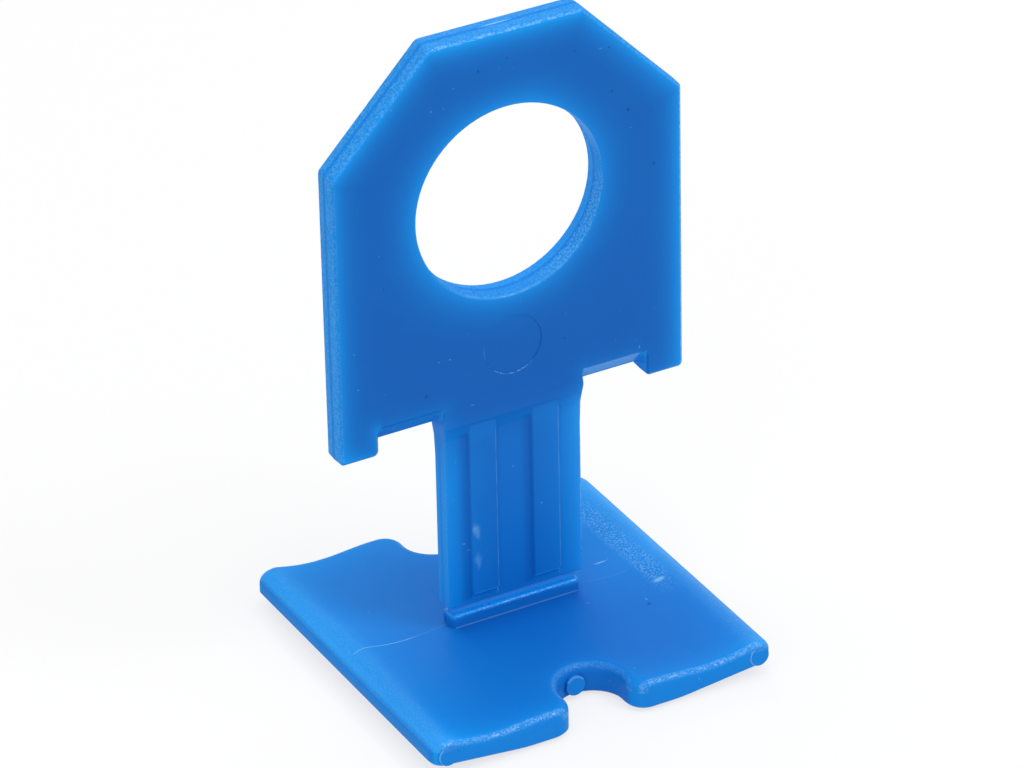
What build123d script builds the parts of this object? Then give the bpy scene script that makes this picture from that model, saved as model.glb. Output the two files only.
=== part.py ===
from build123d import *
import os

# One moulded clip, in millimetres: X across, Y through its thickness, Z up from under the plate
# The two mould halves meet on the plane y = 0, and most walls lean back from it by a draft in degrees

# Base plate: flat crown, shallow valleys, raised rims and sides that fall away
# A slope is the rise for each millimetre across
plate_width = 34.0
plate_depth = 33.74
plate_corner_radius = 1.2
crown_inset = 10.8
crown_height = 3.4
valley_inset = 7.4
valley_width = 2.8
valley_height = 3.12
rim_inset = 1.8
rim_height = 3.78
rim_radius = 2.0
side_top_height = 2.65
side_top_slope = 0.63
side_foot_height = 1.22
side_foot_slope = 0.2
rest_inset = 9.2
underside_slope = 0.105
bend_radius = 16.0
plate_top_draft = 1.36
plate_underside_draft = 0.92
plate_top_edge_radius = 0.85
plate_underside_edge = 0.28

# Notch in the middle of the front and of the rear edge
notch_radius = 2.95
notch_depth = 5.45
notch_lip_radius = 1.9

# Stem with its foot and the thin neck where it breaks
stem_width = 13.6
stem_thickness = 1.95
stem_edge_radius = 0.25
stem_end_chamfer = 0.2
foot_width = 12.9
foot_height = 4.6
foot_edge_radius = 0.3
foot_corner_radius = 0.4
neck_width = 12.5
neck_thickness = 1.0
neck_height = 0.75
neck_edge_radius = 0.3

# The stem widens a little towards the head and thickens into it on a short ramp
root_width = 13.9
root_height = 20.5
ramp_top = 24.0
ramp_height = 1.3

# Raised pads down both faces of the stem
pad_width = 2.55
pad_side_distance = 2.4
pad_thickness = 0.27
pad_wall_angle = 45
pad_lower_end = 6.2
pad_corner_radius = 0.5

# Head plate with its hole
clip_height = 61.32
head_width = 34.16
head_thickness = 2.63
head_chamfer_width = 9.6
head_chamfer_height = 9.96
head_corner_radius = 0.8
head_draft = 3.0
head_edge = 0.24
hole_radius = 9.0
hole_height = 44.8
hole_land = 0.5
hole_draft = 6.5
hole_edge = 0.12

# Lugs either side of the stem and the bevelled shoulders between
lug_width = 3.78
lug_lower_end = 23.38
lug_outer_radius = 0.45
lug_inner_radius = 0.5
shoulder_height = 24.5
shoulder_bevel = 1.54
shoulder_corner_radius = 0.5

# Marks left by the mould on the front
head_mark_radius = 2.85
head_mark_height = 30.7
head_mark_depth = 0.06
corner_mark_radius = 0.92
corner_mark_inset = 1.45
corner_mark_height = 2.1
corner_mark_proud = 0.05
gate_radius = 0.95
gate_height = 1.45
gate_length = 0.5
gate_offset = -0.2

plate_half_width = plate_width / 2
plate_half_depth = plate_depth / 2
plate_middle = crown_height / 2
rim_x = plate_half_width - rim_inset
valley_x = plate_half_width - valley_inset
notch_end = plate_half_depth - notch_depth
neck_top = foot_height + neck_height
stem_half_width = stem_width / 2
root_half_width = root_width / 2
head_half_width = head_width / 2
head_half_thickness = head_thickness / 2
lug_wall = head_half_width - lug_width
# A wall counts as upright while its normal rises less than this, an edge as along an axis above this
level_slope = 0.1
along_slope = 0.9


def both_sides(points):
    # Points right of the middle, given from the middle outwards, after their twins on the left
    return [(-x, z) for x, z in reversed(points)] + points


# Front half of the base plate
with BuildPart() as plate_half:
    # Top of the plate, leaning down towards the front
    with BuildSketch(Plane.XZ.rotated((plate_top_draft, 0, 0))):
        with BuildLine():
            rise = (rim_height - valley_height) / (rim_x - valley_x - valley_width)
            top = both_sides([
                (plate_half_width - crown_inset, crown_height),
                (valley_x, valley_height),
                (valley_x + valley_width, valley_height),
                (rim_x + 2 * rim_inset, rim_height + 2 * rim_inset * rise),
            ])
            FilletPolyline(*top, radius=bend_radius)
            Polyline(top[-1], (top[-1][0], -rim_height), (top[0][0], -rim_height), top[0])
        make_face()
    extrude(amount=plate_depth, both=True)
    # Underside, leaning up towards the front
    with BuildSketch(Plane.XZ.rotated((-plate_underside_draft, 0, 0))):
        with BuildLine():
            rest_x = plate_half_width - rest_inset
            lift = (plate_width - rest_x) * underside_slope
            underside = both_sides([(rest_x, 0), (plate_width, lift)])
            FilletPolyline(*underside, radius=bend_radius)
            Polyline(
                underside[-1], (plate_width, clip_height), (-plate_width, clip_height), underside[0]
            )
        make_face()
    extrude(amount=plate_depth, both=True, mode=Mode.INTERSECT)
    # Upright sides, sloping in above and below, with no draft
    with BuildSketch(Plane.XZ):
        with BuildLine():
            Polyline(
                (0, side_foot_height - plate_half_width * side_foot_slope),
                (plate_half_width, side_foot_height),
                (plate_half_width, side_top_height),
                (0, side_top_height + plate_half_width * side_top_slope),
                close=True,
            )
        make_face()
        mirror(about=Plane.YZ)
    extrude(amount=plate_depth, both=True, mode=Mode.INTERSECT)
    rims = plate_half.edges().filter_by(
        lambda edge: abs(abs(edge.center().X) - rim_x) < rim_inset / 2
        and edge.center().Z > crown_height
        and edge.length > plate_half_depth
    )
    fillet(rims, rim_radius)
    # Plan with round corners and the notch, up to the parting plane
    with BuildSketch() as plan:
        Rectangle(plate_width, plate_depth)
        fillet(plan.vertices(), plate_corner_radius)
        with Locations((0, -notch_end - notch_radius)):
            Circle(notch_radius, mode=Mode.SUBTRACT)
            Rectangle(
                2 * notch_radius, plate_depth, align=(Align.CENTER, Align.MAX), mode=Mode.SUBTRACT
            )
        notch_lips = plan.vertices().group_by(Axis.Y)[0].group_by(SortBy.DISTANCE)[0]
        fillet(notch_lips, notch_lip_radius)
        Rectangle(
            2 * plate_width, plate_depth, align=(Align.CENTER, Align.MIN), mode=Mode.SUBTRACT
        )
    extrude(amount=2 * rim_height, mode=Mode.INTERSECT)
    walls = plate_half.faces().filter_by(
        lambda face: abs(face.normal_at().Z) < level_slope
        and face.center().Y < -plate_corner_radius / 4
    )
    wall_ends = walls.edges().filter_by(Axis.Z, reverse=True)
    fillet(wall_ends.filter_by(lambda edge: edge.center().Z > plate_middle), plate_top_edge_radius)
    walls = plate_half.faces().filter_by(
        lambda face: abs(face.normal_at().Z) < level_slope
        and face.center().Y < -plate_corner_radius / 4
    )
    wall_ends = walls.edges().filter_by(Axis.Z, reverse=True)
    chamfer(wall_ends.filter_by(lambda edge: edge.center().Z < plate_middle), plate_underside_edge)

# Stem standing on its foot, with the neck between them
with BuildPart() as stem:
    with BuildSketch(Plane.XZ):
        with BuildLine():
            right = [
                (stem_half_width, neck_top),
                (stem_half_width, root_height),
                (root_half_width, shoulder_height),
                (stem_half_width, shoulder_height + shoulder_bevel),
            ]
            left = [(-x, z) for x, z in reversed(right)]
            Polyline(*right, *left, close=True)
        make_face()
    extrude(amount=head_half_thickness, both=True)
    # Seen from the side, the stem is thinner than the head up to the ramp
    with BuildSketch(Plane.YZ):
        with BuildLine():
            ramp_end = ramp_top - ramp_height
            front = [
                (-stem_thickness / 2, neck_top),
                (-stem_thickness / 2, ramp_end),
                (-head_half_thickness, ramp_top),
                (-head_half_thickness, clip_height),
            ]
            rear = [(-y, z) for y, z in reversed(front)]
            Polyline(*front, *rear, close=True)
        make_face()
    extrude(amount=head_half_width, both=True, mode=Mode.INTERSECT)
    sides = stem.edges().filter_by(
        lambda edge: abs(edge.tangent_at(0.5).Z) > along_slope and edge.center().Z < ramp_top
    )
    fillet(sides, stem_edge_radius)
    chamfer(stem.faces().sort_by(Axis.Z)[0].edges(), stem_end_chamfer)
    with BuildSketch(Plane.XY.offset(plate_middle)):
        RectangleRounded(foot_width, stem_thickness, foot_corner_radius)
    extrude(amount=foot_height - plate_middle)
    foot_top = stem.faces(Select.LAST).sort_by(Axis.Z)[-1]
    fillet(foot_top.edges(), foot_edge_radius)
    with BuildSketch(Plane.XY.offset(plate_middle)):
        RectangleRounded(neck_width, neck_thickness, neck_edge_radius)
    extrude(amount=neck_top + stem_thickness - plate_middle)
    with BuildSketch(Plane.XZ.offset(stem_thickness / 2)) as pads:
        pad_offset = stem_half_width - pad_side_distance - pad_width / 2
        pad_length = ramp_top - pad_lower_end
        with Locations((pad_offset, pad_lower_end), (-pad_offset, pad_lower_end)):
            Rectangle(pad_width + 2 * pad_thickness, pad_length, align=(Align.CENTER, Align.MIN))
        fillet(pads.vertices().group_by(Axis.Z)[0], pad_corner_radius)
    extrude(amount=pad_thickness, taper=pad_wall_angle)
    mirror(about=Plane.XZ)

# Front half of the head
with BuildPart() as head_half:
    with BuildSketch(Plane.XZ):
        with BuildLine():
            right = [
                (head_half_width, lug_lower_end),
                (head_half_width, clip_height - head_chamfer_height),
                (head_half_width - head_chamfer_width, clip_height),
            ]
            left = [(-x, z) for x, z in reversed(right)]
            radii = [lug_outer_radius, head_corner_radius, head_corner_radius]
            FilletPolyline(*right, *left, radius=radii + radii[::-1], close=True)
        make_face()
    extrude(amount=head_half_thickness, taper=head_draft)
    # Gaps between the lugs and the stem, cut along the bevel of the shoulders
    with BuildSketch(Plane.XZ):
        with BuildLine():
            gap = [
                (stem_half_width, root_height),
                (root_half_width, shoulder_height),
                (lug_wall, shoulder_height),
                (lug_wall, root_height),
            ]
            Polyline(*gap, close=True)
        make_face()
        mirror(about=Plane.YZ)
    bevel = Vector(0, -head_half_thickness, shoulder_bevel)
    extrude(amount=2 * bevel.length, dir=bevel.normalized(), both=True, mode=Mode.SUBTRACT)
    lug_ends = head_half.edges().filter_by(
        lambda edge: abs(abs(edge.center().X) - lug_wall) < lug_inner_radius
        and abs(edge.center().Z - lug_lower_end) < lug_inner_radius
        and abs(edge.tangent_at(0.5).Y) > along_slope
    )
    fillet(lug_ends, lug_inner_radius)
    gap_corners = head_half.edges().filter_by(
        lambda edge: abs(edge.tangent_at(0.5).Z) > level_slope
        and abs(edge.center().Y + head_half_thickness / 2) < head_half_thickness / 4
        and abs(edge.center().X) < head_half_width - lug_width / 2
    )
    fillet(gap_corners, shoulder_corner_radius)
    # Between the gaps the stem takes over from the top of its ramp
    with BuildSketch(Plane.XZ):
        with Locations((0, ramp_top)):
            Rectangle(root_width, ramp_top, align=(Align.CENTER, Align.MAX))
    extrude(amount=head_half_thickness, mode=Mode.SUBTRACT)
    # Hole with a straight land in the middle of the thickness, opening towards the face
    with BuildSketch(Plane.XZ):
        with Locations((0, hole_height)):
            Circle(hole_radius)
    extrude(amount=head_half_thickness, mode=Mode.SUBTRACT)
    with BuildSketch(Plane.XZ.offset(hole_land / 2)):
        with Locations((0, hole_height)):
            Circle(hole_radius)
    extrude(amount=head_half_thickness, taper=-hole_draft, mode=Mode.SUBTRACT)
    hole_rim = head_half.faces().sort_by(Axis.Y)[0].inner_wires()[0]
    chamfer(hole_rim.edges(), hole_edge)
    outline = head_half.faces().sort_by(Axis.Y)[0].outer_wire()
    chamfer(
        outline.edges().filter_by(
            lambda edge: abs(edge.center().X) > root_half_width or edge.center().Z > hole_height
        ),
        head_edge,
    )

# The whole moulding
with BuildPart() as levelling_clip:
    add(plate_half.part)
    add(head_half.part)
    mirror(about=Plane.XZ)
    add(stem.part)
    # Round mark in the head, and the two on the plate's front corners
    with BuildSketch(Plane.XZ.offset(head_half_thickness)):
        with Locations((0, head_mark_height)):
            Circle(head_mark_radius)
    extrude(amount=-head_mark_depth, mode=Mode.SUBTRACT)
    with BuildSketch(Plane.XZ.offset(plate_half_depth + corner_mark_proud)):
        corner_mark_x = plate_half_width - corner_mark_inset
        with Locations((corner_mark_x, corner_mark_height), (-corner_mark_x, corner_mark_height)):
            Circle(corner_mark_radius)
    extrude(amount=-plate_corner_radius - corner_mark_proud)
    # Gate stub on the inner wall of the front notch
    with BuildSketch(Plane.XZ.offset(notch_end + gate_length)):
        with Locations((gate_offset, gate_height)):
            Circle(gate_radius)
    extrude(amount=-2 * gate_length)

levelling_clip.part.label = "levelling_clip"
os.makedirs("parts", exist_ok=True)
export_step(levelling_clip.part, "parts/levelling_clip.step")
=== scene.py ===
import math

import bpy
from mathutils import Matrix, Vector

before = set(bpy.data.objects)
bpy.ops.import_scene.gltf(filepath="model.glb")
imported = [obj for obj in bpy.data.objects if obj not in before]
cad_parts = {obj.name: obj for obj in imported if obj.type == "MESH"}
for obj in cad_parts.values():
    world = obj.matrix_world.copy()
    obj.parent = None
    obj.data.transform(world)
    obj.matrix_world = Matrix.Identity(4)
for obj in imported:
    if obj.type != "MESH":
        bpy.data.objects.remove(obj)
mm = 0.001


def writeSize():
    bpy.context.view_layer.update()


writeSize()
bpy.ops.object.select_all(action="DESELECT")
print("frame loaded")


class Sock:
    # One output in a node tree, so that shader sums read as sums
    def __init__(self, graph, socket):
        self.graph = graph
        self.socket = socket

    def math(self, kind, *others):
        return self.graph.node("ShaderNodeMath", {"operation": kind}, [self, *others])

    def __add__(self, other):
        return self.math("ADD", other)

    def __radd__(self, other):
        return self.math("ADD", other)

    def __sub__(self, other):
        return self.math("SUBTRACT", other)

    def __rsub__(self, other):
        return self.graph.node("ShaderNodeMath", {"operation": "SUBTRACT"}, [other, self])

    def __mul__(self, other):
        return self.math("MULTIPLY", other)

    def __rmul__(self, other):
        return self.math("MULTIPLY", other)

    def __truediv__(self, other):
        return self.math("DIVIDE", other)

    def __abs__(self):
        return self.math("ABSOLUTE")

    def __lt__(self, other):
        return self.math("LESS_THAN", other)

    def __gt__(self, other):
        return self.math("GREATER_THAN", other)

    def smallest(self, other):
        return self.math("MINIMUM", other)

    def largest(self, other):
        return self.math("MAXIMUM", other)

    def ramp(self, start, end):
        # 0 at start, 1 at end, smooth between; start may be the larger
        settings = {"interpolation_type": "SMOOTHSTEP"}
        values = {"Value": self, "From Min": start, "From Max": end}
        return self.graph.node("ShaderNodeMapRange", settings, values)

    def within(self, low, high, soft):
        # 1 from low to high, soft at both ends
        return self.ramp(low - soft, low) * self.ramp(high + soft, high)

    def fade(self, reach):
        # 1 up to 0, then falling off, and nearly gone at three times reach
        return (self.largest(0.0) * (-1.0 / reach)).math("EXPONENT")

    def swap(self, mask, other):
        # Itself where mask is 0, other where mask is 1
        return self * (1 - mask) + mask * other


class Graph:
    # The nodes of a finish or of the sky
    def __init__(self, tree, outputKind):
        self.nodes = tree.nodes
        self.links = tree.links
        self.nodes.clear()
        self.output = self.nodes.new(outputKind)

    def node(self, kind, settings=None, values=None, output=0):
        made = self.nodes.new(kind)
        for name, value in (settings or {}).items():
            setattr(made, name, value)
        pairs = values.items() if isinstance(values, dict) else enumerate(values or [])
        for name, value in pairs:
            if isinstance(value, Sock):
                self.links.new(value.socket, made.inputs[name])
            else:
                made.inputs[name].default_value = value
        return Sock(self, made.outputs[output])

    def outputs(self, sock, *names):
        return [Sock(self, sock.socket.node.outputs[name]) for name in names]

    def place(self):
        # Object coordinates in millimetres, whole and one output for each axis
        spot = self.node("ShaderNodeTexCoord", output="Object")
        spot = self.node("ShaderNodeVectorMath", {"operation": "SCALE"}, {0: spot, "Scale": 1 / mm})
        split = self.node("ShaderNodeSeparateXYZ", values=[spot])
        return spot, *self.outputs(split, "X", "Y", "Z")

    def blend(self, factor, a, b):
        a, b = (color if isinstance(color, Sock) else (*color, 1) for color in (a, b))
        return self.node("ShaderNodeMix", {"data_type": "RGBA"}, {0: factor, 6: a, 7: b}, output=2)

    def noise(self, spot, size, detail=2.0):
        values = {"Vector": spot, "Scale": 1 / size, "Detail": detail}
        return self.node("ShaderNodeTexNoise", values=values)

    def seenRay(self):
        # 1 for what the camera sees, straight, mirrored or through something
        path = self.node("ShaderNodeLightPath")
        names = ("Is Camera Ray", "Is Glossy Ray", "Is Transmission Ray")
        straight, mirrored, through = self.outputs(path, *names)
        return straight.largest(mirrored).largest(through)

    def surface(self, shader):
        self.links.new(shader.socket, self.output.inputs["Surface"])


def newFinish(name):
    material = bpy.data.materials.new(name)
    material.use_nodes = True
    return material, Graph(material.node_tree, "ShaderNodeOutputMaterial")


def distance(a, b):
    return (a * a + b * b).math("SQRT")


def strongest(masks):
    total, *others = masks
    for mask in others:
        total = total.largest(mask)
    return total


# The clip's own sizes in millimetres and degrees, as its source has them
clip = {
    "plateWidth": 34.0,
    "plateDepth": 33.74,
    "crownHeight": 3.4,
    "notchRadius": 2.95,
    "notchDepth": 5.45,
    "footHeight": 4.6,
    "neckHeight": 0.75,
    "stemWidth": 13.6,
    "stemThickness": 1.95,
    "rootWidth": 13.9,
    "rampTop": 24.0,
    "rampHeight": 1.3,
    "padWidth": 2.55,
    "padSideDistance": 2.4,
    "padThickness": 0.27,
    "padLowerEnd": 6.2,
    "height": 61.32,
    "headWidth": 34.16,
    "headThickness": 2.63,
    "headChamferWidth": 9.6,
    "headChamferHeight": 9.96,
    "headDraft": 3.0,
    "headEdge": 0.24,
    "holeRadius": 9.0,
    "holeHeight": 44.8,
    "holeLand": 0.5,
    "holeDraft": 6.5,
    "lugWidth": 3.78,
    "lugLowerEnd": 23.38,
    "shoulderHeight": 24.5,
    "shoulderBevel": 1.54,
    "headMarkRadius": 2.85,
    "headMarkHeight": 30.7,
    "cornerMarkRadius": 0.92,
    "cornerMarkInset": 1.45,
    "cornerMarkHeight": 2.1,
    "gateRadius": 0.95,
    "gateHeight": 1.45,
    "gateLength": 0.5,
    "gateOffset": -0.2,
}

plateHalfWidth = clip["plateWidth"] / 2
plateHalfDepth = clip["plateDepth"] / 2
notchEnd = plateHalfDepth - clip["notchDepth"]
notchMiddle = notchEnd + clip["notchRadius"]
gateFront = notchEnd + clip["gateLength"]
cornerMarkX = plateHalfWidth - clip["cornerMarkInset"]
neckTop = clip["footHeight"] + clip["neckHeight"]
stemHalfWidth = clip["stemWidth"] / 2
stemFace = clip["stemThickness"] / 2
rootHalfWidth = clip["rootWidth"] / 2
rampLow = clip["rampTop"] - clip["rampHeight"]
padMiddle = stemHalfWidth - clip["padSideDistance"] - clip["padWidth"] / 2
padHalfFoot = clip["padWidth"] / 2 + clip["padThickness"]
padInner = padMiddle - padHalfFoot
padOuter = padMiddle + padHalfFoot
headHalfWidth = clip["headWidth"] / 2
headTopHalf = headHalfWidth - clip["headChamferWidth"]
headSideTop = clip["height"] - clip["headChamferHeight"]
lugWall = headHalfWidth - clip["lugWidth"]

# How far a wall shifts for each millimetre of depth
headLean = math.tan(math.radians(clip["headDraft"]))
holeLean = math.tan(math.radians(clip["holeDraft"]))
shoulderLean = clip["shoulderBevel"] / (clip["headThickness"] / 2)

# The plastic's colours and gloss, with heights and depths in millimetres
plastic = {
    "headDeep": (0.004, 0.112, 0.455),
    "lowDeep": (0.004, 0.152, 0.565),
    "deepHeights": (19.0, 27.0),  # where the lower tone turns into the head's
    "padTone": 0.3,  # share of the head's tone in the pads
    # The next colour is painted light: glow at the thin edges and lit walls
    "bright": (0.006, 0.30, 0.84),
    "seam": (0.003, 0.20, 0.70),
    # The next colour is painted shade: the pads' shadows and the shade in front of the stem
    "paintedShade": (0.002, 0.10, 0.44),
    # The next colour is for painted sheen, glints and highlights, and for pale mould lines, scuffs and
    # dust
    "pale": (0.20, 0.50, 0.86),
    "speck": (0.004, 0.03, 0.10),
    "cloudy": 0.08,  # how far the noises change the light, here and in the next two
    "wallGrainy": 0.9,
    "faceGrainy": 0.06,
    "faceRoughness": 0.29,
    "wallRoughness": 0.70,
    "plateRougher": 0.16,
    "waveRougher": 0.1,
    "specular": 0.09,
    "coatRoughness": 0.3,
    "grainDepth": 0.004,
    "wallGrainDepth": 1.2,  # times grainDepth, as are the next two
    "faceGrainDepth": 0.35,
    "waveDepth": 1.5,
}

# From here on lengths are in millimetres, two numbers say where something begins and where it is full,
# and three say from where to where it lies and how soft its ends are

# Noises in the plastic, by size, and the patterns taken from them
noises = {
    "grain": 0.22,
    "fine": 0.16,
    "sparkle": 0.17,
    "dust": 0.4,
    "wave": 1.6,
    "cloud": 6.0,
    "grainPattern": (0.44, 0.58),
    "patchPattern": (0.35, 0.6),
    "sparklePattern": (0.52, 0.6),
    "dustPattern": (0.85, 0.9),
}

# Zones of the clip
zones = {
    "headHeights": (rampLow - 1.2, clip["rampTop"] + 1.5),
    "lugHeight": rampLow - 1,
    "lugAcross": rootHalfWidth + 1,
    "plateHeights": (clip["crownHeight"] + 0.9, clip["crownHeight"] + 0.5),
    "plateFaceHeight": 2.6,
    "padHeights": (clip["padLowerEnd"], rampLow, 0.6),
    "padDepth": 0.7,
    "offStem": stemFace + 0.005,
    "skin": 0.1,  # depth of what counts as a surface
}

# Walls, by the distance from their edges
walls = {
    "head": (0.10, 0.03),
    "bevel": (0.2, 0.1),
    "hole": (0.3, 0.15),
    "gap": (0.2, 0.1),
    "stem": (0.12, 0.04),
    "plate": (0.5, 0.1),
    "plateRound": (0.2, 0.5, 0.15),
    "plateRoundHeight": 1.9,
    "roundFade": (0.8, 1.2),
    "roundInNotch": 0.45,
}


class Place:
    # A point of the clip: where it is, how far from each edge, and in which zone or on which wall
    def __init__(self, graph):
        self.spot, self.x, self.y, self.z = graph.place()
        self.across = abs(self.x)
        self.depth = abs(self.y)
        self.right = self.x > 0.0
        self.left = self.x < 0.0
        self.front = self.y < 0.0
        self.rear = self.y > 0.0
        self.addNoises(graph)
        self.addHeadEdges()
        self.addGapEdge()
        self.addLowEdges()
        self.addZones()
        self.addWalls()

    def addNoises(self, graph):
        self.grain = graph.noise(self.spot, noises["grain"], detail=1.0)
        self.fine = graph.noise(self.spot, noises["fine"], detail=1.0)
        self.wave = graph.noise(self.spot, noises["wave"])
        self.cloud = graph.noise(self.spot, noises["cloud"], detail=1.0)
        sparkle = graph.noise(self.spot, noises["sparkle"], detail=0.0)
        dust = graph.noise(self.spot, noises["dust"], detail=0.0)
        self.grains = ((self.fine + self.grain) * 0.5).ramp(*noises["grainPattern"])
        self.patches = self.wave.ramp(*noises["patchPattern"])
        self.sparkle = sparkle.ramp(*noises["sparklePattern"])
        self.dust = dust.ramp(*noises["dustPattern"])

    def addHeadEdges(self):
        # Distance in from each of the head's drafted walls, and out from its hole
        lean = self.depth * headLean
        self.side = headHalfWidth - self.across - lean
        self.top = clip["height"] - self.z - lean
        run = headHalfWidth - headTopHalf
        drop = clip["height"] - headSideTop
        length = math.hypot(run, drop)
        reach = (headHalfWidth * drop + headSideTop * run) / length
        self.bevel = reach - self.across * (drop / length) - self.z * (run / length) - lean
        self.outline = self.side.smallest(self.top).smallest(self.bevel)
        pastLand = (self.depth - clip["holeLand"] / 2).largest(0.0)
        fromMiddle = distance(self.x, self.z - clip["holeHeight"])
        self.hole = fromMiddle - clip["holeRadius"] - pastLand * holeLean

    def addGapEdge(self):
        # Distance from the openings between the stem and the lugs, and from the lugs' ends
        middle = (lugWall + rootHalfWidth) / 2
        halfWidth = (lugWall - rootHalfWidth) / 2
        beside = abs(self.across - middle) - halfWidth
        above = self.z - clip["shoulderHeight"] - self.depth * shoulderLean
        gap = distance(beside.largest(0.0), above.largest(0.0))
        lugEnd = self.z - clip["lugLowerEnd"] - self.depth * headLean
        farAway = 30
        self.gap = gap.smallest(lugEnd + (self.across < rootHalfWidth) * farAway)

    def addLowEdges(self):
        self.stemSide = stemHalfWidth - self.across
        self.plateSide = plateHalfWidth - self.across
        self.plateFront = plateHalfDepth - self.depth
        self.notch = distance(self.x, self.depth - notchMiddle) - clip["notchRadius"]
        self.plateEdge = self.plateSide.smallest(self.plateFront).smallest(self.notch)
        self.gate = distance(self.x - clip["gateOffset"], self.z - clip["gateHeight"])
        self.gateFront = self.y + gateFront

    def addZones(self):
        inLug = (self.across > zones["lugAcross"]) * (self.z > zones["lugHeight"])
        self.inHead = self.z.ramp(*zones["headHeights"]).largest(inLug)
        self.inPlate = self.z.ramp(*zones["plateHeights"])
        self.inStem = (1 - self.inHead) * (1 - self.inPlate)
        self.onPlateFace = self.inPlate * (self.z > zones["plateFaceHeight"])
        self.alongPads = self.z.within(*zones["padHeights"]) * (self.depth > zones["padDepth"])
        self.offStem = self.depth > zones["offStem"]

    def addWalls(self):
        edge = self.outline.smallest(self.hole).smallest(self.gap)
        self.onWall = edge.ramp(*walls["head"]) * self.inHead
        self.onBevel = self.bevel.ramp(*walls["bevel"])
        self.onHoleWall = self.hole.ramp(*walls["hole"]) * self.onWall
        self.onGapWall = self.gap.ramp(*walls["gap"])
        self.onStemWall = self.stemSide.ramp(*walls["stem"]) * self.inStem
        self.onPlateWall = self.plateEdge.ramp(*walls["plate"])
        fromSide = self.plateSide.ramp(*walls["roundFade"])
        fromNotch = self.notch.ramp(*walls["roundFade"]).largest(walls["roundInNotch"])
        plateRound = self.plateEdge.within(*walls["plateRound"]) * (self.z > walls["plateRoundHeight"])
        self.onPlateRound = plateRound * self.inPlate * fromSide * fromNotch


# Painted light in the head's colour: the glow of light that comes in at its thin edges, how far it
# shows and how strong it is, and its walls painted lighter or darker
headGlow = {
    "reach": 1.0,
    "strength": 0.88,
    "topShare": 1.25,
    "leftShare": 0.75,  # the least that the sides get, at the left
    "sideAcross": (-30.0, 17.0),
    "holeReach": 1.3,
    "hole": 0.8,
    "holeRightLess": 0.2,
    "holeAcross": (2.0, 8.0),
    "gapReach": 0.8,
    "gap": 0.25,
    "leftLugMore": 0.45,
    "leftLugAcross": (0.6 - lugWall, -lugWall),
    "leftLugHeights": (30.0, 25.0),
    "rightLugLess": 0.2,
    "rightLugAcross": (lugWall - 1, lugWall),
    "rightLugHeights": (clip["lugLowerEnd"] + 0.3, clip["lugLowerEnd"] + 1),
    "wall": 0.74,
    "gapWallLess": 0.15,
    "leftGapWallLess": 0.2,
    "rearHoleWallMore": 0.2,
}


def gapLight(at):
    leftLug = at.x.ramp(*headGlow["leftLugAcross"]) * at.z.ramp(*headGlow["leftLugHeights"])
    rightLug = at.x.ramp(*headGlow["rightLugAcross"]) * at.z.ramp(*headGlow["rightLugHeights"])
    share = headGlow["gap"] + leftLug * headGlow["leftLugMore"] - rightLug * headGlow["rightLugLess"]
    return at.gap.fade(headGlow["gapReach"]) * share


def headWallLight(at):
    less = headGlow["gapWallLess"] + at.left * headGlow["leftGapWallLess"]
    more = at.onHoleWall * at.rear * headGlow["rearHoleWallMore"]
    return headGlow["wall"] - at.onGapWall * less + more


def headLight(at):
    reach = headGlow["reach"]
    chamfer = clip["headEdge"]
    sideShare = at.x.ramp(*headGlow["sideAcross"]).largest(headGlow["leftShare"])
    side = (at.side - chamfer).fade(reach) * sideShare
    top = (at.top - chamfer).fade(reach) * headGlow["topShare"]
    bevel = (at.bevel - chamfer).fade(reach)
    light = strongest([side, top, bevel]) * headGlow["strength"]
    holeShare = headGlow["hole"] - at.x.ramp(*headGlow["holeAcross"]) * headGlow["holeRightLess"]
    light = light + at.hole.fade(headGlow["holeReach"]) * holeShare + gapLight(at)
    return light.swap(at.onWall, headWallLight(at))


# The same painted glow down the stem's sides, and painted light at its neck, at the pads' lower ends
# and on the ramp below the head, lifting their shade
stemGlow = {
    "reach": 1.8,
    "strength": 0.8,
    "rightMore": 0.12,
    "rightAcross": (-1.0, 1.0),
    "topLeftLess": 0.35,
    "topLeftHeights": (17.0, 23.0),
    "neck": 1.0,
    "neckHeights": (clip["footHeight"] - 0.1, neckTop + 0.1, 0.15),
    "neckDepth": 1.0,
    "padEnd": 0.75,
    "padEndHeights": (clip["padLowerEnd"] - 0.05, clip["padLowerEnd"] + 0.3, 0.1),
    "ramp": 0.17,
    "rampStart": (21.7, 23.3),
    "rampEnd": (24.1, 23.8),
}


def stemLight(at):
    toRight = at.x.ramp(*stemGlow["rightAcross"])
    topLeft = at.z.ramp(*stemGlow["topLeftHeights"]) * (1 - toRight)
    share = toRight * stemGlow["rightMore"] + stemGlow["strength"] - topLeft * stemGlow["topLeftLess"]
    sides = at.stemSide.fade(stemGlow["reach"]) * share
    # Painted light at the neck and at the pads' lower ends, where they lie in shade
    neck = at.z.within(*stemGlow["neckHeights"]) * (at.depth < stemGlow["neckDepth"])
    padEnd = at.z.within(*stemGlow["padEndHeights"]) * at.offStem
    light = strongest([sides, neck * stemGlow["neck"], padEnd * stemGlow["padEnd"]])
    ramp = at.z.ramp(*stemGlow["rampStart"]) * at.z.ramp(*stemGlow["rampEnd"]) * at.offStem
    return light + ramp * (at.across < rootHalfWidth) * stemGlow["ramp"]


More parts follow.
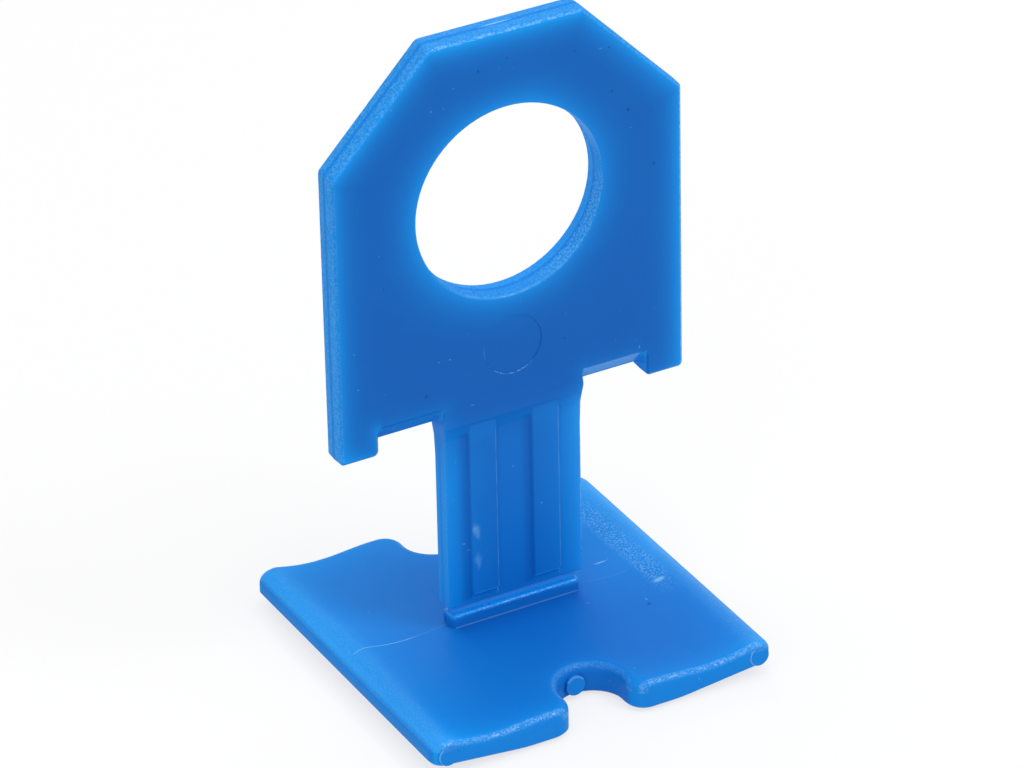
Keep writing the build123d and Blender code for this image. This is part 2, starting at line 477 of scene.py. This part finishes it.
# The same painted glow around the plate, which is also painted lighter towards its sides and its rear,
# and darker at its front right and in the notch
plateGlow = {
    "sideReach": 1.96,
    "frontReach": 1.4,
    "edges": 0.65,
    "notchReach": 0.84,
    "notch": 0.4,
    "deepReach": 6.0,
    "deep": 0.45,
    "frontRightLess": 0.3,
    "rightAcross": (0.0, 9.0),
    "frontY": (3.0, -6.0),
    "rear": 0.14,
    "rearY": (-2.0, 6.0),
    "farRear": 0.12,
    "farRearY": (6.0, 16.0),
    "wall": 0.45,
    "notchWallLess": 0.35,
    "notchWall": (1.2, 0.4),
    "gateFaceMore": 0.4,
    "gateFaceSoft": 0.1,
    "gateFaceDepths": (-0.1, 0.2, 0.05),
}


def plateWallLight(at):
    notchWall = at.notch.ramp(*plateGlow["notchWall"])
    gateFace = at.gate.ramp(clip["gateRadius"], clip["gateRadius"] - plateGlow["gateFaceSoft"])
    gateFace = gateFace * at.gateFront.within(*plateGlow["gateFaceDepths"])
    less = notchWall * plateGlow["notchWallLess"]
    return plateGlow["wall"] - less + gateFace * plateGlow["gateFaceMore"]


def plateLight(at):
    edges = at.plateSide.fade(plateGlow["sideReach"]) + at.plateFront.fade(plateGlow["frontReach"])
    notch = at.notch.fade(plateGlow["notchReach"])
    frontRight = at.x.ramp(*plateGlow["rightAcross"]) * at.y.ramp(*plateGlow["frontY"])
    deepShare = plateGlow["deep"] - frontRight * plateGlow["frontRightLess"]
    light = edges * plateGlow["edges"] + notch * plateGlow["notch"]
    light = light + at.plateSide.fade(plateGlow["deepReach"]) * deepShare
    light = light + at.y.ramp(*plateGlow["rearY"]) * plateGlow["rear"]
    light = light + at.y.ramp(*plateGlow["farRearY"]) * plateGlow["farRear"]
    return light.swap(at.onPlateWall, plateWallLight(at))


def wholeLight(at):
    light = headLight(at) * at.inHead + stemLight(at) * at.inStem + plateLight(at) * at.inPlate
    grainy = at.onWall * plastic["wallGrainy"] + plastic["faceGrainy"]
    return light + (at.cloud - 0.5) * plastic["cloudy"] + (at.fine - 0.5) * grainy


def deepTone(at):
    # 0 for the lower parts' own blue, 1 for the head's
    onPad = (at.depth > stemFace + clip["padThickness"] / 2) * at.inStem
    return at.z.ramp(*plastic["deepHeights"]).largest(onPad * plastic["padTone"])


# Darker places: painted shadow at the left foot of each pad, painted shade on the plate close to the
# stem, and the seam round the clip
shadeAndSeam = {
    "padFoot": 0.6,
    "padFootStart": (-1.1, -0.1),
    "padFootEnd": (0.3, 0.1),
    "contactShade": 0.8,
    "contactReach": 1.8,
    "contactAcross": (7.0, 5.5),
    "contactHeights": (clip["crownHeight"] + 0.15, clip["crownHeight"] + 0.03),
    "seam": 0.85,
    "stemSeam": 0.6,
    "seamDepths": (0.34, 0.06),
    "seamWander": 0.12,
}


def padShadows(at):
    # Painted shadow that each pad casts beside its left side
    feet = []
    for edge in (-padOuter, padInner):
        foot = at.x - edge
        feet.append(foot.ramp(*shadeAndSeam["padFootStart"]) * foot.ramp(*shadeAndSeam["padFootEnd"]))
    return strongest(feet) * at.alongPads * shadeAndSeam["padFoot"]


def contactShade(at):
    # Painted shade on the plate just in front of the stem
    near = (at.depth - stemFace).fade(shadeAndSeam["contactReach"])
    near = near * at.across.ramp(*shadeAndSeam["contactAcross"]) * at.front
    return near * at.z.ramp(*shadeAndSeam["contactHeights"]) * shadeAndSeam["contactShade"]


def seam(at):
    # Where the mould halves meet, wandering a little
    wander = (at.wave - 0.5) * shadeAndSeam["seamWander"]
    onSides = at.onWall + at.onStemWall * shadeAndSeam["stemSeam"]
    return (at.depth + wander).ramp(*shadeAndSeam["seamDepths"]) * onSides * shadeAndSeam["seam"]


# Painted sheen: pale reflected light on the drafted walls, the shoulders, the stem's right side and
# the plate's rims, where a haze is even and grains lie on it
sheenShares = {
    "grain": (0.4, 0.66),
    "wallGrains": 0.13,
    "bevelGrainsMore": 0.1,
    "wallHaze": 0.07,
    "bevelHazeLess": 0.04,
    "holeWallShare": 0.6,
    "holeWall": (0.2, 0.4),
    "gapWallLess": 0.8,
    "shoulder": 0.4,
    "shoulderEdge": (0.15, 0.1),
    "shoulderAcross": (7.2, 12.4, 0.4),
    "stemWall": 0.1,
    "stemRight": 0.07,
    "stemRightReach": 0.9,
    "rim": (3.2, 1.0),
    "rimGrains": 0.12,
    "rimHaze": 0.05,
    "rightRimHazeMore": 0.04,
}


def paintedSheen(at):
    # Painted sheen on the walls, a painted reflection on the shoulder bevels, painted light down the
    # stem's right side and painted sheen on the plate's rims
    grainShare = at.onBevel * sheenShares["bevelGrainsMore"] + sheenShares["wallGrains"]
    haze = sheenShares["wallHaze"] - at.onBevel * sheenShares["bevelHazeLess"]
    wall = at.grain.ramp(*sheenShares["grain"]) * grainShare + haze
    wall = wall * at.onWall * at.hole.ramp(*sheenShares["holeWall"]).largest(sheenShares["holeWallShare"])
    wall = wall * (1 - at.onGapWall * sheenShares["gapWallLess"])
    shoulder = at.gap.ramp(*sheenShares["shoulderEdge"]) * (at.z > clip["shoulderHeight"] - zones["skin"])
    shoulder = shoulder * at.x.within(*sheenShares["shoulderAcross"])
    wall = wall + shoulder * sheenShares["shoulder"] + at.onStemWall * sheenShares["stemWall"]
    stemRight = at.right * at.stemSide.fade(sheenShares["stemRightReach"]) * at.inStem
    rimHaze = sheenShares["rimHaze"] + at.right * sheenShares["rightRimHazeMore"]
    rim = at.fine.ramp(*sheenShares["grain"]) * sheenShares["rimGrains"] + rimHaze
    rim = rim * at.plateSide.ramp(*sheenShares["rim"]) * at.onPlateFace
    return strongest([wall, stemRight * sheenShares["stemRight"], rim])


# Fine pale lines of the mould, and painted highlights on the lit edges of the marks, the gate and the
# pads, each with its strength, its half width and where it runs
lines = {
    "partingWander": 0.3,
    "partingWidth": (0.05, 0.02),
    "partingHeight": 3.0,
    "partingAcross": (-15.9, 12.0, 0.05),
    "partingFade": (9.5, -9.5),
    "partingRight": 0.15,
    "partingLeftMore": 0.85,
    "partingBroken": (0.42, 0.5),
    "partingFaint": 0.2,
    "partingClear": 0.6,
    "foot": 0.45,
    "footOut": 0.04,
    "footUp": 0.02,
    "footWidth": (0.08, 0.03),
    "footAcross": 6.4,
    "mark": 0.7,
    "markWidth": (0.06, 0.02),
    "markTurn": 240,  # degrees from the right to the ring's clearest part, low at its left
    "markArc": (0.1, 0.9),
    "markGrain": (0.3, 0.6),
    "corner": 0.6,
    "cornerWidth": (0.08, 0.03),
    "cornerArc": (-0.3, -0.8),
    "cornerDepth": 16.8,
    "gate": 0.45,
    "gateWidth": 0.12,
    "gateSoft": 0.04,
    "gateHeight": 1.9,
    "gateDepths": (-0.1, 0.1, 0.05),
    "padFaint": 0.08,
    "padPatchy": 0.15,
    "padWidth": (0.10, 0.03),
}


def partingLine(at):
    # Over the plate, broken and clearest at the left
    line = abs(at.y + (at.cloud - 0.5) * lines["partingWander"]).ramp(*lines["partingWidth"])
    line = line * at.inPlate * (at.z > lines["partingHeight"]) * at.x.within(*lines["partingAcross"])
    line = line * (at.x.ramp(*lines["partingFade"]) * lines["partingLeftMore"] + lines["partingRight"])
    broken = at.cloud.ramp(*lines["partingBroken"])
    return line * (broken * lines["partingClear"] + lines["partingFaint"])


def footLine(at):
    # Along the foot, where it meets the plate
    out = at.depth - stemFace - lines["footOut"]
    line = distance(out, at.z - clip["crownHeight"] - lines["footUp"]).ramp(*lines["footWidth"])
    return line * (at.across < lines["footAcross"]) * lines["foot"]


def markRingHighlight(at):
    # Painted highlight on the lit part of the edge of the round mark in the head
    up = at.z - clip["headMarkHeight"]
    ring = abs(distance(at.x, up) - clip["headMarkRadius"]).ramp(*lines["markWidth"])
    ring = ring * at.front * at.inHead * at.patches * at.grain.ramp(*lines["markGrain"])
    turn = math.radians(lines["markTurn"])
    lowLeft = (at.x * math.cos(turn) + up * math.sin(turn)) / clip["headMarkRadius"]
    return ring * lowLeft.ramp(*lines["markArc"]) * lines["mark"]


def cornerRingHighlights(at):
    # Painted highlight on the left part of the edge of the round mark on each front corner of the
    # plate
    out = at.across - cornerMarkX
    ring = distance(out, at.z - clip["cornerMarkHeight"]) - clip["cornerMarkRadius"]
    ring = abs(ring).ramp(*lines["cornerWidth"]) * (at.y < -lines["cornerDepth"])
    toRight = out * at.x.math("SIGN")
    return ring * toRight.ramp(*lines["cornerArc"]) * lines["corner"]


def gateRimHighlight(at):
    # Painted highlight on the upper arc of the gate's rim
    inner = clip["gateRadius"] - lines["gateWidth"]
    rim = at.gate.within(inner, clip["gateRadius"], lines["gateSoft"])
    rim = rim * (at.z > lines["gateHeight"]) * at.gateFront.within(*lines["gateDepths"])
    return rim * lines["gate"]


def padEdgeHighlights(at):
    # Painted highlight along the upper edge of each pad's right wall
    edges = []
    for edge in (-padInner - clip["padThickness"], padOuter - clip["padThickness"]):
        edges.append(abs(at.x - edge).ramp(*lines["padWidth"]))
    return strongest(edges) * at.alongPads * (at.patches * lines["padPatchy"] + lines["padFaint"])


# Small marks of use and moulding, and painted glints, sheen, highlights and light
marks = {
    "headSpecks": [  # x, z and radius
        (0.0, 58.5, 0.10),
        (-2.8, 58.0, 0.14),
        (6.6, 57.4, 0.09),
        (9.9, 56.9, 0.09),
        (10.1, 52.6, 0.13),
        (11.7, 50.4, 0.16),
        (14.2, 44.5, 0.13),
        (5.1, 29.8, 0.10),
        (-8.6, 28.0, 0.16),
        (-12.4, 39.7, 0.09),
    ],
    "plateSpecks": [  # x, y and radius
        (10.85, -5.65, 0.18),
        (-9.5, 6.0, 0.08),
        (-10.7, 0.8, 0.08),
    ],
    "stemScuffs": [  # x, z, half lengths and strength
        (-4.0, 12.7, 0.5, 1.2, 0.7),
        (-3.8, 9.8, 0.4, 1.1, 0.42),
        (-2.7, 17.2, 0.8, 0.06, 0.7),
    ],
    "topScuffs": [(-0.3, 0.1, 2.0, 0.17, 1.0)],  # x, y, half lengths and strength, as are the next
    "plateScuffs": [
        (10.5, 2.5, 0.85, 0.11, 1.0),
        (13.4, -3.0, 0.8, 0.4, 0.8),
        (6.0, -3.2, 0.25, 0.06, 0.6),
    ],
    "speck": 0.55,
    "speckEdge": (1.4, 0.4),  # in radii
    "scuffEdge": (1.0, 0.3),  # in half lengths
    "scuffBend": 1.6,
    "stemScuffDepth": 0.8,
    "stemScuffHaze": 0.3,
    "stemScuffGrain": 0.8,
    "plateScuffHaze": 0.6,
    "plateScuffGrain": 0.6,
    "dust": 0.3,
    "slope": 0.34,
    "slopeAcross": (13.0, 14.2, 0.8),
    "slopeY": (-1.0, 9.5, 5.0),
    "slopeHeight": 2.9,
    "holeWallAcross": (1.0, 6.0),
    "holeWallSparkle": 0.36,
    "holeWallSparkleHeights": (46.0, 43.0),
    "holeWallHaze": 0.3,
    "holeWallHazeHeights": (46.0, 50.0),
    "holeLipHighlight": 0.1,
    "holeLipPatchy": 0.15,
    "holeLipWave": (0.35, 0.55),
    "holeLipWidth": (0.03, 0.16, 0.04),
    "holeLipDepths": (1.1, 1.2),
    "holeLipHeights": (38.0, 36.5),
    "neck": 0.2,
    "neckHeights": (4.85, 5.4, 0.15),
    "neckDepth": 0.8,
    "plateRound": 0.05,
    "plateRoundHighlight": 0.14,
}


def dots(places, a, b):
    # Round specks, darkest in their middles
    found = []
    for u, v, radius in places:
        found.append((distance(a - u, b - v) / radius).ramp(*marks["speckEdge"]))
    return strongest(found)


def smears(places, a, b):
    # Soft oblong scuffs, each with its own strength
    found = []
    for u, v, halfA, halfB, strength in places:
        smear = distance((a - u) / halfA, (b - v) / halfB).ramp(*marks["scuffEdge"])
        found.append(smear * strength)
    return strongest(found)


def specks(at):
    onHead = dots(marks["headSpecks"], at.x, at.z) * at.front * at.inHead
    onPlate = dots(marks["plateSpecks"], at.x, at.y) * at.onPlateFace
    return onHead.largest(onPlate) * marks["speck"]


def scuffs(at):
    bent = at.x + (at.wave - 0.5) * marks["scuffBend"]
    onStem = smears(marks["stemScuffs"], bent, at.z) * at.inStem * at.front * at.patches
    onStem = onStem * (at.depth > marks["stemScuffDepth"])
    onStem = onStem * (at.grain * marks["stemScuffGrain"] + marks["stemScuffHaze"])
    onPlate = smears(marks["plateScuffs"], at.x, at.y) * at.onPlateFace
    onPlate = onPlate * (at.grain * marks["plateScuffGrain"] + marks["plateScuffHaze"])
    onTop = smears(marks["topScuffs"], at.x, at.y) * (at.z > clip["height"] - zones["skin"])
    return strongest([onStem, onPlate, onTop])


def slopeGlints(at):
    # Painted glints of reflected light on the slope up to the plate's right rim
    slope = at.x.within(*marks["slopeAcross"]) * at.y.within(*marks["slopeY"])
    slope = slope * (at.z > marks["slopeHeight"]) * at.inPlate
    return slope * at.sparkle * marks["slope"]


def holeWallGlintsAndSheen(at):
    # Painted glints below and painted sheen above on the hole's right wall
    onRight = at.onHoleWall * at.front * at.x.ramp(*marks["holeWallAcross"])
    sparkle = at.sparkle * at.z.ramp(*marks["holeWallSparkleHeights"]) * marks["holeWallSparkle"]
    haze = at.z.ramp(*marks["holeWallHazeHeights"]) * marks["holeWallHaze"]
    return onRight * sparkle.largest(haze)


def holeLipHighlight(at):
    # Painted highlight along the lower lip of the hole
    lip = at.hole.within(*marks["holeLipWidth"]) * at.depth.ramp(*marks["holeLipDepths"])
    patchy = at.wave.ramp(*marks["holeLipWave"]) * marks["holeLipPatchy"] + marks["holeLipHighlight"]
    return lip * at.z.ramp(*marks["holeLipHeights"]) * patchy


def paintedNeckLight(at):
    # Painted light over the neck, lifting its shade
    return at.z.within(*marks["neckHeights"]) * (at.depth < marks["neckDepth"]) * marks["neck"]


def plateRoundHighlight(at):
    # Painted highlight, in grains, on the plate's rounded top edges
    return at.onPlateRound * (at.grains * marks["plateRoundHighlight"] + marks["plateRound"])


def paleMarksAndHighlights(at):
    # Pale mould lines, scuffs and dust, with painted highlights, glints, sheen and light on top
    mouldLinesAndHighlights = (partingLine, footLine, markRingHighlight, cornerRingHighlights, gateRimHighlight, padEdgeHighlights)
    wearAndPaintedLight = (scuffs, slopeGlints, holeWallGlintsAndSheen, holeLipHighlight, paintedNeckLight, plateRoundHighlight)
    found = [mark(at) for mark in mouldLinesAndHighlights + wearAndPaintedLight]
    found.append(at.dust * marks["dust"])
    return strongest(found)


# Rounded edges are burnished: how strongly, and how far in from the edge
burnish = {
    "outline": 0.8,
    "outlineWidth": (0.06, 0.28, 0.03),
    "hole": 0.6,
    "holeWidth": (0.06, 0.22, 0.03),
    "holeHeights": (42.0, 38.0),
    "headDepths": (0.95, 1.05),
    "footHeights": (clip["footHeight"] - 0.34, clip["footHeight"] + 0.05, 0.04),
    "stemLeft": 0.35,
    "stemRightMore": 0.65,
    "stemWidth": (0.25, 0.1),
    "stemDepths": (0.7, 0.8),
    "wall": 0.12,
}


def burnishedEdges(at):
    outline = at.outline.within(*burnish["outlineWidth"]) * burnish["outline"]
    hole = at.hole.within(*burnish["holeWidth"]) * at.z.ramp(*burnish["holeHeights"]) * burnish["hole"]
    head = outline.largest(hole) * at.depth.ramp(*burnish["headDepths"]) * at.inHead
    foot = at.z.within(*burnish["footHeights"])
    stem = at.stemSide.ramp(*burnish["stemWidth"]) * at.depth.ramp(*burnish["stemDepths"]) * at.inStem
    stem = stem * (at.right * burnish["stemRightMore"] + burnish["stemLeft"])
    return strongest([head, at.onPlateRound, foot, stem, at.onWall * burnish["wall"]])


def plasticColor(graph, at):
    # The colour carries painted light: glow and lit walls, painted shadow by the pads, painted shade
    # in front of the stem, and painted sheen and highlights
    color = graph.blend(deepTone(at), plastic["lowDeep"], plastic["headDeep"])
    color = graph.blend(wholeLight(at), color, plastic["bright"])
    color = graph.blend(padShadows(at), color, plastic["paintedShade"])
    color = graph.blend(contactShade(at), color, plastic["paintedShade"])
    color = graph.blend(paintedSheen(at), color, plastic["pale"])
    color = graph.blend(seam(at), color, plastic["seam"])
    color = graph.blend(paleMarksAndHighlights(at), color, plastic["pale"])
    return graph.blend(specks(at), color, plastic["speck"])


def plasticRoughness(at):
    wallRougher = plastic["wallRoughness"] - plastic["faceRoughness"]
    roughness = at.onWall.largest(at.onStemWall) * wallRougher + plastic["faceRoughness"]
    return roughness + at.wave * plastic["waveRougher"] + at.inPlate * plastic["plateRougher"]


def plasticBump(graph, at):
    grainHeight = at.fine * (at.onWall * plastic["wallGrainDepth"] + plastic["faceGrainDepth"])
    height = grainHeight + at.wave * plastic["waveDepth"]
    values = {"Strength": 1.0, "Distance": plastic["grainDepth"] * mm, "Height": height}
    return graph.node("ShaderNodeBump", values=values)


def makePlastic():
    material, graph = newFinish("bluePlastic")
    at = Place(graph)
    values = {
        "Base Color": plasticColor(graph, at),
        "Roughness": plasticRoughness(at),
        "Specular IOR Level": plastic["specular"],
        "Coat Weight": burnishedEdges(at) * at.grains,
        "Coat Roughness": plastic["coatRoughness"],
        "Normal": plasticBump(graph, at),
    }
    graph.surface(graph.node("ShaderNodeBsdfPrincipled", values=values))
    return material


bluePlastic = makePlastic()
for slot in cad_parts["levelling_clip"].material_slots:
    slot.material = bluePlastic
print("plastic made")


studio = {
    "floorWidth": 6.0,
    "floorColor": (0.88, 0.88, 0.88),
    "floorWhite": 0.72,  # share of plain white that the camera sees in the floor
    "skyLight": 0.62,
}


def makeFloor():
    material, graph = newFinish("floorPaint")
    paint = graph.node("ShaderNodeBsdfDiffuse", values={"Color": (*studio["floorColor"], 1)})
    white = graph.node("ShaderNodeEmission", values={"Strength": 1.0})
    factor = graph.seenRay() * studio["floorWhite"]
    graph.surface(graph.node("ShaderNodeMixShader", values=[factor, paint, white]))
    bpy.ops.mesh.primitive_plane_add(size=studio["floorWidth"])
    floor = bpy.context.object
    floor.name = "floor"
    floor.data.materials.append(material)


def makeSky():
    world = bpy.data.worlds.new("sky")
    bpy.context.scene.world = world
    world.use_nodes = True
    graph = Graph(world.node_tree, "ShaderNodeOutputWorld")
    white = (1, 1, 1, 1)
    light = graph.node("ShaderNodeBackground", values=[white, studio["skyLight"]])
    seen = graph.node("ShaderNodeBackground", values=[white, 1.0])
    graph.surface(graph.node("ShaderNodeMixShader", values=[graph.seenRay(), light, seen]))


makeFloor()
makeSky()
print("floor and sky made")


# Square lamps in metres and watts, all aimed at the clip
lamps = {
    "key": {"size": 0.24, "place": (0.31, -0.39, 0.60), "power": 1.45},
    "fill": {"size": 0.60, "place": (-0.75, -0.60, 0.50), "power": 1.5},
    "back": {"size": 0.26, "place": (0.22, 0.76, 0.62), "power": 0.7},
    "over": {"size": 0.80, "place": (0.0, 0.05, 1.0), "power": 3.1},
}
lampAim = Vector((0, 0, 0.03))


def makeLamp(name, size, place, power):
    lamp = bpy.data.lights.new(name, "AREA")
    lamp.shape = "SQUARE"
    lamp.size = size
    lamp.energy = power
    holder = bpy.data.objects.new(name + "Lamp", lamp)
    bpy.context.scene.collection.objects.link(holder)
    holder.location = place
    aim = lampAim - holder.location
    holder.rotation_euler = aim.to_track_quat("-Z", "Y").to_euler()


for name, lamp in lamps.items():
    makeLamp(name, **lamp)
print("lamps made")


# Where the photograph was taken from, found from the clip's own edges, with angles in degrees
camera = {
    "imageWidth": 1024,
    "focalPixels": 6451.2,
    "sensorWidth": 36.0,
    "azimuth": 28.483,
    "elevation": 30.304,
    "roll": -1.213,
    "distance": 574.42 * mm,
    "across": -0.009 * mm,
    "upward": 22.466 * mm,
    "clipStart": 0.01,
    "clipEnd": 50.0,
}


def makeCamera():
    azimuth, elevation, roll = (math.radians(camera[k]) for k in ("azimuth", "elevation", "roll"))
    level = Vector((math.cos(azimuth), -math.sin(azimuth), 0))
    away = Vector((-math.sin(azimuth), -math.cos(azimuth), 0))
    back = away * math.cos(elevation) + Vector((0, 0, math.sin(elevation)))
    upright = back.cross(level)
    across = math.cos(roll) * level + math.sin(roll) * upright
    upward = -math.sin(roll) * level + math.cos(roll) * upright
    data = bpy.data.cameras.new("camera")
    data.sensor_width = camera["sensorWidth"]
    data.lens = camera["focalPixels"] * camera["sensorWidth"] / camera["imageWidth"]
    data.clip_start = camera["clipStart"]
    data.clip_end = camera["clipEnd"]
    holder = bpy.data.objects.new("camera", data)
    bpy.context.scene.collection.objects.link(holder)
    place = across * camera["across"] + upward * camera["upward"] + back * camera["distance"]
    turn = Matrix((across, upward, back)).transposed().to_4x4()
    holder.matrix_world = Matrix.Translation(place) @ turn
    bpy.context.scene.camera = holder


makeCamera()
bpy.context.scene.view_settings.view_transform = "Standard"
print("camera made")
writeSize()
